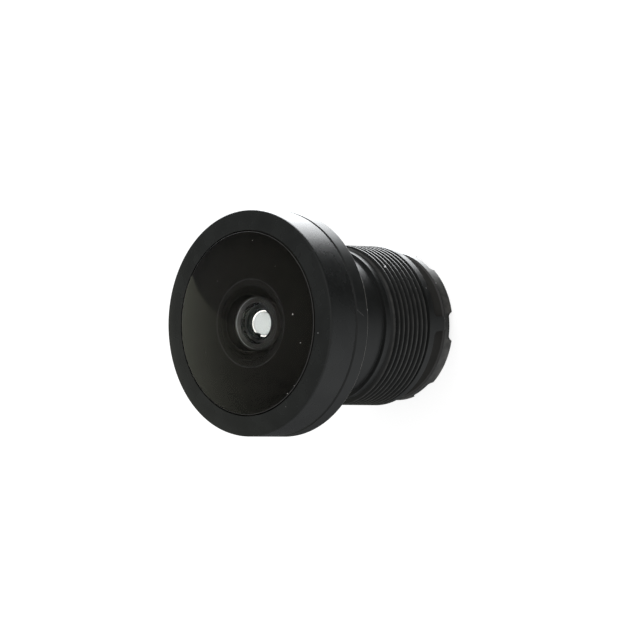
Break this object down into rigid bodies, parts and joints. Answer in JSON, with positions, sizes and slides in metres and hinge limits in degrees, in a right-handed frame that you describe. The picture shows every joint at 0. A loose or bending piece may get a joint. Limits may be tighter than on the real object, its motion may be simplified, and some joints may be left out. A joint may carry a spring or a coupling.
{
  "type": "m12 board camera lens",
  "caption": "Wide-angle board camera lens with a large domed front glass in a round black head and a fine M12 thread behind.",
  "frame": {"origin": "centre of the rear end face, on the optical axis", "axes": "+Z along the optical axis, out of the front glass; -Y through one spanner notch and the bridge in line with it"},
  "size_m": [0.0168, 0.0168, 0.0178],
  "materials": {
    "black_anodised": "black anodised, satin",
    "matte_black_ring": "black anodised, matt",
    "coated_glass": "polished, multi-layer coating, inked edge",
    "filter_glass": "polished, infrared-cut coating",
    "black_film": "matt black film",
    "seal_rubber": "smooth"
  },
  "bodies": {
    "root": {"barrel": "black_anodised", "front_cap": "black_anodised", "front_glass": "coated_glass", "front_seal": "seal_rubber", "light_shield": "black_film", "second_glass": "coated_glass", "second_film": "black_film", "second_ring": "matte_black_ring", "third_glass": "coated_glass", "aperture_stop": "black_film", "stop_ring": "matte_black_ring", "pair_inner_glass": "coated_glass", "pair_outer_glass": "coated_glass", "rear_film": "black_film", "rear_ring": "matte_black_ring", "rear_glass": "coated_glass", "rear_retainer": "matte_black_ring", "infrared_filter": "filter_glass"}
  },
  "joints": []
}
